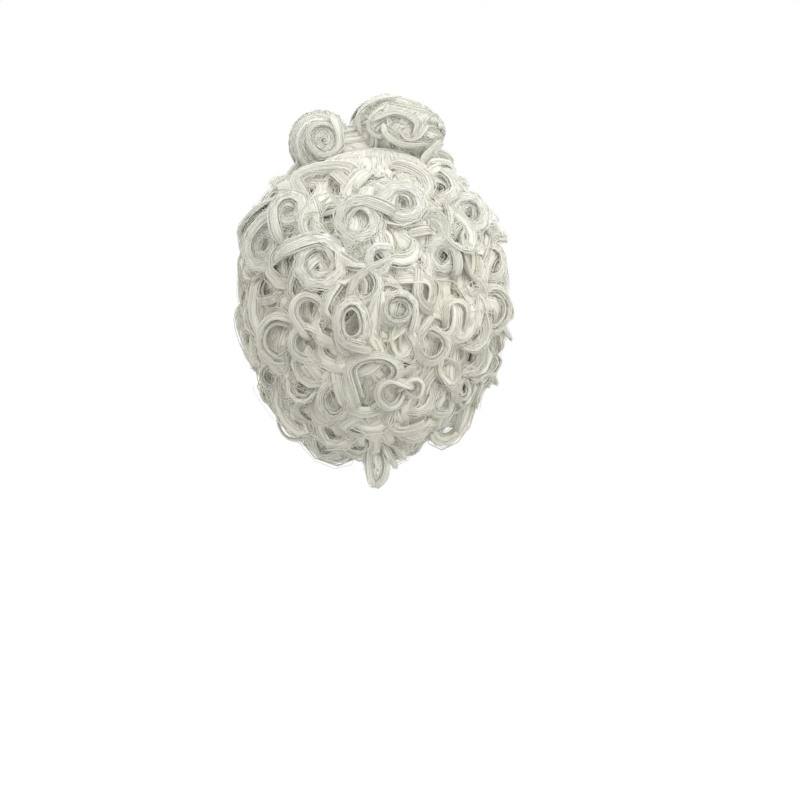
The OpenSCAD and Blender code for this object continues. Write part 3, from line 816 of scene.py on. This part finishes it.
def makeLeftLobe():
    # one big rolled curl
    batch = newBatch()
    centre, half = lobeParts("bun_lobe_left")
    centre = centre - upZ * .0022
    half = half + np.array([.001, .001, .0022])
    base = {"arms": 4, "turns": 1.0, "reach": 1.3, "width": .0125, "scale": .93, "hand": 1, "slope": .15}
    addCoat(batch, centre, half, (0, 1, .1), 34, .90)
    for pole in ((1, .1, .1), (.3, -1, .3), (-1, 0, .3), (.1, 0, 1)):
        addSwirl(batch, centre, half, pole, base)
    front = dict(base, scale=.99, arms=4, turns=1.1, reach=1.2, hand=-1)
    addSwirl(batch, centre, half, (-.10, 1, .05), front)
    pullIn(batch, centre, half, 1.02)
    ring = {"lean": 10, "rise": -.001, "tuck": .003, "sink": .004, "flat": .5, "flare": -.7, "wander": .0003,
            "twist": .3, "radius": .0100, "tall": 1.1, "start": 20, "turns": 1.3, "hand": -1, "width": .0036,
            "close": .10}
    disc = dict(ring, radius=.0105, turns=2.6, close=.97, width=.0085, flat=.2, flare=-1.4, tuck=.001,
                twist=0)
    addCurl(batch, centre + half * np.array([-.16, .95, -.02]), (-.15, 1, 0), disc, "full")
    addCurl(batch, centre + half * np.array([-.16, 1.06, -.02]), (-.15, 1, 0), ring, "full")
    return finishBatch(batch, "bunLobeLeft", curlHair, ["bun_lobe_left"])


def makeRightLobe():
    # a loose nest of curls, with thin strands over it and curls that hang at its lower right
    batch = newBatch()
    centre, half = lobeParts("bun_lobe_right")
    base = {"arms": 3, "turns": .8, "reach": 1.3, "width": .0140, "scale": .92, "hand": 1, "slope": .1}
    addCoat(batch, centre, half, (.9, .1, .4), 40, .93)
    for pole in ((1, .2, .1), (0, -1, .1), (-1, 0, -.1), (.1, 0, 1)):
        addSwirl(batch, centre, half, pole, dict(base, hand=int(rng.choice([-1, 1]))))
    nest = [((.45, 1, .05), .0080, 1.1, .0034), ((-.30, .95, -.05), .0085, 1.0, .0036),
            ((.72, .75, -.30), .0070, 1.5, .0032), ((.10, .75, .70), .0130, .8, .0105),
            ((-.70, .6, .35), .0120, 1.1, .0100), ((-.75, .6, -.45), .0105, 1.0, .0085),
            ((.55, .6, .50), .0120, 1.0, .0095), ((-.10, .95, -.55), .0110, .8, .0090),
            ((.35, .9, -.55), .0100, .8, .0085)]
    golden = math.pi * (3 - math.sqrt(5))
    for k in range(14):
        z = .9 - 1.5 * k / 14
        r = math.sqrt(1 - z * z)
        way = np.array([r * math.cos(k * golden), r * math.sin(k * golden), z])
        if way[1] < .2 and way[2] < .75:
            nest.append((way, rng.uniform(.0105, .0140), rng.uniform(.8, 1.2), rng.uniform(.0075, .0110)))
    for way, radius, tall, width in nest:
        way = unit(way)
        thin = width < .005
        curl = dict(randomCurl("crisp" if thin else "soft"), radius=radius, tall=tall, width=width, sink=.006,
                    pair=.7 if thin else 0)
        addCurl(batch, centre + way * half * (.97 if thin else .84), unit(way / half), curl, "full")
    pullIn(batch, centre, half, 1.0, .24)
    knot = np.array([.0135, centre[1], .0125])
    addCoat(batch, knot, np.array([.019, .018, .0145]), (1, 0, .1), 22, .93)
    for pole in ((0, -1, .2), (0, .1, 1)):
        addSwirl(batch, knot, np.array([.019, .018, .0145]), pole, dict(base, arms=3, scale=.95, width=.0100))
    right, back, foot = centre[0] - half[0], centre[1] + half[1], centre[2] - half[2]
    hanging = ((.004, -.006, -.001, .0085), (.002, -.002, -.009, .0075), (.010, .000, -.004, .0075))
    for x, y, z, radius in hanging:
        curl = dict(randomCurl("crisp"), radius=radius, tall=1.1, width=.0055, sink=.004)
        addCurl(batch, np.array([right + x, back + y, foot + z]), unit([-.5, 1, .1]), curl, "full")
    strands = [
        [(.75, .75, -.2), (.80, .70, .35), (.45, .70, .75), (-.1, .65, .85)],
        [(.30, 1.0, .05), (.22, 1.05, -.3), (-.15, 1.05, -.55), (-.75, .85, -.5)],
        [(.60, .95, .10), (.05, 1.05, .35), (-.35, 1.0, .10), (-.30, 1.0, -.35)],
    ]
    for points in strands:
        path = curvePath([centre + half * np.array(p) * 1.02 for p in points], 36)
        look = dict(lockKinds["full"], width=.0032, thick=.0014, twist=.6)
        addLock(batch, path, np.cross(np.gradient(path, axis=0), path - centre), look)
    return finishBatch(batch, "bunLobeRight", curlHair, ["bun_lobe_right"])


makeLeftLobe()
makeRightLobe()


def makeNapeLock():
    # a loop that hangs on the neck, with loose strands to its right; shares of the CAD lock's box
    batch = newBatch()
    low, high = (np.array(c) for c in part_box("nape_lock_curl"))

    def place(aside, out, up):
        size = high - low
        return high[0] - aside * size[0], low[1] + out * size[1], low[2] + up * size[2]

    hanging = [
        ([(.30, .2, 1.5), (.14, .5, 1.0), (.12, .7, .5), (.30, .8, .06), (.62, .75, .3), (.66, .6, .7),
          (.45, .5, 1.0)], .0050),
        ([(.45, .1, 1.5), (.30, .3, 1.0), (.22, .5, .55), (.38, .55, .2), (.55, .55, .5), (.50, .4, .85)],
         .0044),
        ([(.25, .1, 1.2), (.48, .5, .75), (.28, .6, .40), (.42, .6, .15)], .0026),
        ([(.60, .1, 1.2), (.32, .5, .8), (.48, .6, .45), (.26, .6, .25)], .0024),
        ([(.50, .2, 1.5), (.62, .5, 1.1), (.80, .6, .80), (.98, .55, .50)], .0046),
        ([(.60, .1, 1.5), (.85, .4, 1.2), (1.10, .5, 1.0), (1.25, .5, .75)], .0050),
        ([(.20, .1, 1.5), (.02, .3, 1.1), (-.05, .4, .8), (.02, .4, .6)], .0034),
    ]
    for points, width in hanging:
        path = curvePath([place(*p) for p in points], 36)
        broad = np.tile(np.array([1.0, .3, .2]), (36, 1)) + .4 * np.gradient(path[:, ::-1], axis=0) * 200
        addLock(batch, path, broad, dict(lockKinds["full"], width=width, thick=width * .45, twist=1.0))
    return finishBatch(batch, "napeLock", curlHair, ["nape_lock_curl"])


makeNapeLock()
print("hair made")


def roundCoordinates(tree, pitch):
    # steps round the head and down it, for a pattern that follows the cap
    place = tree.nodes.new("ShaderNodeTexCoord")
    split = tree.nodes.new("ShaderNodeSeparateXYZ")
    tree.links.new(place.outputs["Object"], split.inputs[0])
    x, y, z = split.outputs
    turn = mathNode(tree, "MULTIPLY", mathNode(tree, "ARCTAN2", x, y), .075)
    square = mathNode(tree, "ADD", mathNode(tree, "MULTIPLY", x, x), mathNode(tree, "MULTIPLY", y, y))
    down = mathNode(tree, "SUBTRACT", z, mathNode(tree, "SQRT", square))
    return mathNode(tree, "DIVIDE", turn, pitch), mathNode(tree, "DIVIDE", down, pitch)


def softNoise(tree, scale, detail):
    place = tree.nodes.new("ShaderNodeTexCoord")
    noise = tree.nodes.new("ShaderNodeTexNoise")
    tree.links.new(place.outputs["Object"], noise.inputs["Vector"])
    for label, value in (("Scale", scale), ("Detail", detail)):
        if isinstance(value, (int, float)):
            noise.inputs[label].default_value = value
        else:
            tree.links.new(value, noise.inputs[label])
    return noise.outputs[0]


def buildNetGroup():
    # diamond mesh: two families of threads that cross
    tree, gin, gout = newGroup("capNet", {"Pitch": .0024, "Thread": .3}, ["Mask", "Wear", "Height"])
    u, v = roundCoordinates(tree, gin.outputs["Pitch"])
    lines = []
    for operation in ("ADD", "SUBTRACT"):
        fold = mathNode(tree, "PINGPONG", mathNode(tree, operation, u, v), .5)
        lines.append(mathNode(tree, "SUBTRACT", 1.0, mathNode(tree, "DIVIDE", fold, gin.outputs["Thread"])))
    height = mathNode(tree, "MAXIMUM", mathNode(tree, "MAXIMUM", lines[0], lines[1]), 0.0)
    mask = mathNode(tree, "MINIMUM", mathNode(tree, "MULTIPLY", height, 2.5), 1.0)
    tree.links.new(mask, gout.inputs["Mask"])
    tree.links.new(softNoise(tree, 45.0, 2.0), gout.inputs["Wear"])
    tree.links.new(height, gout.inputs["Height"])
    return tree


def buildWeaveGroup():
    # plain weave: each crossing shows the thread that lies over the other
    tree, gin, gout = newGroup("tapeWeave", {"Pitch": .0007, "Fuzz": .2}, ["Mask", "Wear", "Height"])
    u, v = roundCoordinates(tree, gin.outputs["Pitch"])
    threads = []
    for c in (u, v):
        wave = mathNode(tree, "SINE", mathNode(tree, "MULTIPLY", c, math.pi))
        threads.append(mathNode(tree, "ABSOLUTE", wave))
    steps = mathNode(tree, "ADD", mathNode(tree, "FLOOR", u), mathNode(tree, "FLOOR", v))
    over = mathNode(tree, "PINGPONG", steps, 1.0)
    first = mathNode(tree, "MULTIPLY", threads[0], over)
    second = mathNode(tree, "MULTIPLY", threads[1], mathNode(tree, "SUBTRACT", 1.0, over))
    cloth = mathNode(tree, "ADD", first, second)
    fuzz = mathNode(tree, "MULTIPLY", softNoise(tree, 1500.0, 2.0), gin.outputs["Fuzz"])
    tree.links.new(cloth, gout.inputs["Mask"])
    tree.links.new(softNoise(tree, 60.0, 3.0), gout.inputs["Wear"])
    tree.links.new(mathNode(tree, "ADD", cloth, fuzz), gout.inputs["Height"])
    return tree


def buildNapGroup():
    # short fibres in soft patches, also the faint unevenness of moulded plastic
    tree, gin, gout = newGroup("softNap", {"Grain": 900.0, "Patch": 70.0}, ["Mask", "Wear", "Height"])
    grain = softNoise(tree, gin.outputs["Grain"], 3.0)
    tree.links.new(grain, gout.inputs["Mask"])
    tree.links.new(softNoise(tree, gin.outputs["Patch"], 2.0), gout.inputs["Wear"])
    tree.links.new(grain, gout.inputs["Height"])
    return tree


capNetGroup = buildNetGroup()
tapeWeaveGroup = buildWeaveGroup()
softNapGroup = buildNapGroup()

capLooks = {
    "stretch_net": {"group": capNetGroup, "values": {"Pitch": .0022, "Thread": .26},
                    "light": (.86, .83, .75), "deep": (.62, .57, .47), "wear": .25,
                    "rough": .75, "bump": .5, "high": .0003, "sheen": .1},
    "bun_padding": {"group": capNetGroup, "values": {"Pitch": .0014, "Thread": .22},
                    "light": (.87, .85, .78), "deep": (.70, .67, .58), "wear": .2,
                    "rough": .8, "bump": .5, "high": .0002, "sheen": .2},
    "lining_tape": {"group": tapeWeaveGroup, "values": {"Pitch": .00070, "Fuzz": .3},
                    "light": (.88, .85, .78), "deep": (.66, .62, .53), "wear": .3,
                    "rough": .85, "bump": .6, "high": .0002, "sheen": .1},
    "weft_tape": {"group": tapeWeaveGroup, "values": {"Pitch": .00045, "Fuzz": .4},
                  "light": (.88, .86, .79), "deep": (.68, .65, .56), "wear": .25,
                  "rough": .8, "bump": .6, "high": .00015, "sheen": .1},
    "elastic": {"group": tapeWeaveGroup, "values": {"Pitch": .00055, "Fuzz": .1},
                "light": (.90, .88, .83), "deep": (.70, .68, .61), "wear": .15,
                "rough": .65, "bump": .7, "high": .0002, "sheen": .05},
    "velvet_band": {"group": softNapGroup, "values": {"Grain": 1400.0, "Patch": 55.0},
                    "light": (.86, .82, .74), "deep": (.70, .65, .56), "wear": .45,
                    "rough": .95, "bump": .35, "high": .0002, "sheen": .7},
    "hook_plastic": {"group": softNapGroup, "values": {"Grain": 500.0, "Patch": 120.0},
                     "light": (.87, .85, .79), "deep": (.82, .80, .73), "wear": .2,
                     "rough": .38, "bump": .06, "high": .0001, "sheen": 0},
    "stay_plastic": {"group": softNapGroup, "values": {"Grain": 400.0, "Patch": 90.0},
                     "light": (.83, .81, .75), "deep": (.77, .75, .68), "wear": .2,
                     "rough": .45, "bump": .06, "high": .0001, "sheen": 0},
}


def capMaterial(name, look):
    material = bpy.data.materials.new(name)
    material.use_nodes = True
    tree = material.node_tree
    shader = tree.nodes["Principled BSDF"]
    pattern = tree.nodes.new("ShaderNodeGroup")
    pattern.node_tree = look["group"]
    for label, value in look["values"].items():
        pattern.inputs[label].default_value = value
    colour = mixColor(tree, pattern.outputs["Mask"], look["deep"], look["light"])
    wear = mathNode(tree, "MULTIPLY", pattern.outputs["Wear"], look["wear"])
    tree.links.new(mixColor(tree, wear, colour, look["deep"]), shader.inputs["Base Color"])
    patches = mathNode(tree, "MULTIPLY", pattern.outputs["Wear"], .1)
    tree.links.new(mathNode(tree, "ADD", patches, look["rough"] - .05), shader.inputs["Roughness"])
    bump = tree.nodes.new("ShaderNodeBump")
    bump.inputs["Strength"].default_value = look["bump"]
    bump.inputs["Distance"].default_value = look["high"]
    tree.links.new(pattern.outputs["Height"], bump.inputs["Height"])
    tree.links.new(bump.outputs[0], shader.inputs["Normal"])
    shader.inputs["Sheen Weight"].default_value = look["sheen"]
    return material


capMaterials = {slot: capMaterial(slot.title().replace("_", ""), look) for slot, look in capLooks.items()}


def selectVertices(mesh, test):
    # vertices of the piece in edit mode whose place passes the test
    bpy.ops.object.mode_set(mode="OBJECT")
    for polygon in mesh.polygons:
        polygon.select = False
    for edge in mesh.edges:
        edge.select = False
    for vertex in mesh.vertices:
        vertex.select = bool(test(vertex.co))
    bpy.ops.object.mode_set(mode="EDIT")


def makeBunPad():
    # the fibre pad inside the bun: a flat cushion, drawn in at its middle and at the seam round its rim
    padLook = {"inset": .0006, "foot": .22, "dimple": .0022, "dimpleReach": .011, "seam": .975,
               "lumps": .0009, "fill": .7}
    low, high = (np.array(c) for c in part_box("bun_pad"))
    centre, size = (low + high) / 2, high - low - 2 * padLook["inset"]
    bpy.ops.mesh.primitive_uv_sphere_add(segments=48, ring_count=24, radius=.5, location=tuple(centre))
    pad = bpy.context.object
    pad.name = "bunPad"
    bpy.ops.object.transform_apply(location=True, rotation=True, scale=True)
    bpy.ops.object.mode_set(mode="EDIT")
    bpy.ops.mesh.select_mode(type="VERT")
    bpy.ops.mesh.select_all(action="SELECT")
    bpy.ops.transform.resize(value=tuple(size), center_override=tuple(centre))
    foot = low[2] + padLook["inset"] + size[2] * padLook["foot"]
    bpy.ops.mesh.bisect(plane_co=(0, 0, foot), plane_no=(0, 0, 1), use_fill=True, clear_inner=True)
    bpy.ops.mesh.select_all(action="SELECT")
    crown = high[2] - padLook["inset"]
    bpy.ops.transform.resize(value=(1, 1, 1 / (1 - padLook["foot"])), center_override=(*centre[:2], crown))
    selectVertices(pad.data, lambda co: co.z > crown - .0002)
    bpy.ops.transform.translate(value=(0, 0, -padLook["dimple"]), use_proportional_edit=True,
                                proportional_edit_falloff="SMOOTH", proportional_size=padLook["dimpleReach"])
    rim = float(np.median([v.co.z for v in pad.data.vertices]))
    selectVertices(pad.data, lambda co: abs(co.z - rim) < size[2] * .05)
    bpy.ops.transform.resize(value=(padLook["seam"], padLook["seam"], 1), center_override=tuple(centre))
    bpy.ops.mesh.select_all(action="SELECT")
    bpy.ops.mesh.normals_make_consistent(inside=False)
    bpy.ops.object.mode_set(mode="OBJECT")
    lumps = bpy.data.textures.new("padLumps", "CLOUDS")
    lumps.noise_scale = .012
    swell = pad.modifiers.new("lumps", "DISPLACE")
    swell.texture = lumps
    swell.texture_coords = "LOCAL"
    swell.strength = padLook["lumps"]
    swell.mid_level = 1.0
    bpy.ops.object.modifier_apply(modifier="lumps")
    smooth = pad.modifiers.new("smooth", "SUBSURF")
    smooth.levels = smooth.render_levels = 1
    bpy.ops.object.modifier_apply(modifier="smooth")
    bpy.ops.object.shade_smooth()
    pad.select_set(False)
    pad.data.materials.append(capMaterials["bun_padding"])
    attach(pad, capBody)
    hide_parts("bun_pad")
    print("bunPad", [round(float(x) * 1000, 1) for x in (*pad.bound_box[0], *pad.bound_box[6])])


makeBunPad()

for part in frame["record"]["subparts"]:
    node = nodes[part["node"]]
    if part["material_slot"] in capMaterials and not node.hide_render:
        node.data.materials.clear()
        node.data.materials.append(capMaterials[part["material_slot"]])
print("cap materials made")


def seenRay(tree):
    # 1 where the camera looks, straight, in a mirror or through glass, and 0 for light on the wig
    path = tree.nodes.new("ShaderNodeLightPath")
    seen = mathNode(tree, "MAXIMUM", path.outputs["Is Camera Ray"], path.outputs["Is Glossy Ray"])
    return mathNode(tree, "MAXIMUM", seen, path.outputs["Is Transmission Ray"])


def makeStage():
    floorLook = {"drop": .142, "size": 8.0, "color": (.5, .5, .5), "lift": .85}
    fill = .93  # light from all round
    lamps = {"key": ((-.9, 1.2, .8), 1.2, 9.5), "top": ((-.1, .5, 1.3), 1.2, 3.5),
             "front": ((.6, -1.4, .5), 1.4, 6.0)}
    floorZ = float(np.array(cadBounds[0])[2]) - floorLook["drop"]
    bpy.ops.mesh.primitive_plane_add(size=floorLook["size"], location=(0, 0, floorZ))
    floor = bpy.context.object
    floor.name = "floor"
    material = bpy.data.materials.new("floorPaper")
    material.use_nodes = True
    tree = material.node_tree
    shader = tree.nodes["Principled BSDF"]
    shader.inputs["Base Color"].default_value = (*floorLook["color"], 1)
    shader.inputs["Roughness"].default_value = .9
    shader.inputs["Emission Color"].default_value = (1, 1, 1, 1)
    lift = mathNode(tree, "MULTIPLY", seenRay(tree), floorLook["lift"])
    tree.links.new(lift, shader.inputs["Emission Strength"])
    floor.data.materials.append(material)
    floor.select_set(False)
    world = bpy.data.worlds.new("studio")
    bpy.context.scene.world = world
    world.use_nodes = True
    tree = world.node_tree
    background = tree.nodes["Background"]
    background.inputs["Color"].default_value = (1, 1, 1, 1)
    white = mathNode(tree, "MULTIPLY", seenRay(tree), 1 - fill)
    tree.links.new(mathNode(tree, "ADD", white, fill), background.inputs["Strength"])
    for name, (place, size, power) in lamps.items():
        bpy.ops.object.light_add(type="AREA", location=place)
        lamp = bpy.context.object
        lamp.name = name
        lamp.data.size = size
        lamp.data.energy = power
        aim = Vector((0, 0, float(middle[2]))) - Vector(place)
        lamp.rotation_euler = aim.to_track_quat("-Z", "Y").to_euler()
        lamp.select_set(False)


def makeCamera():
    look = {"lens": 85.0, "away": 1.207, "aside": -.0173, "level": -.149}
    bpy.ops.object.camera_add(location=(look["aside"], look["away"], look["level"]),
                              rotation=(math.radians(90), 0, math.radians(180)))
    camera = bpy.context.object
    camera.data.lens = look["lens"]
    camera.data.sensor_width = 36
    camera.data.clip_start = .01
    bpy.context.scene.camera = camera
    camera.select_set(False)


makeStage()
makeCamera()
bpy.context.scene.view_settings.view_transform = "Standard"
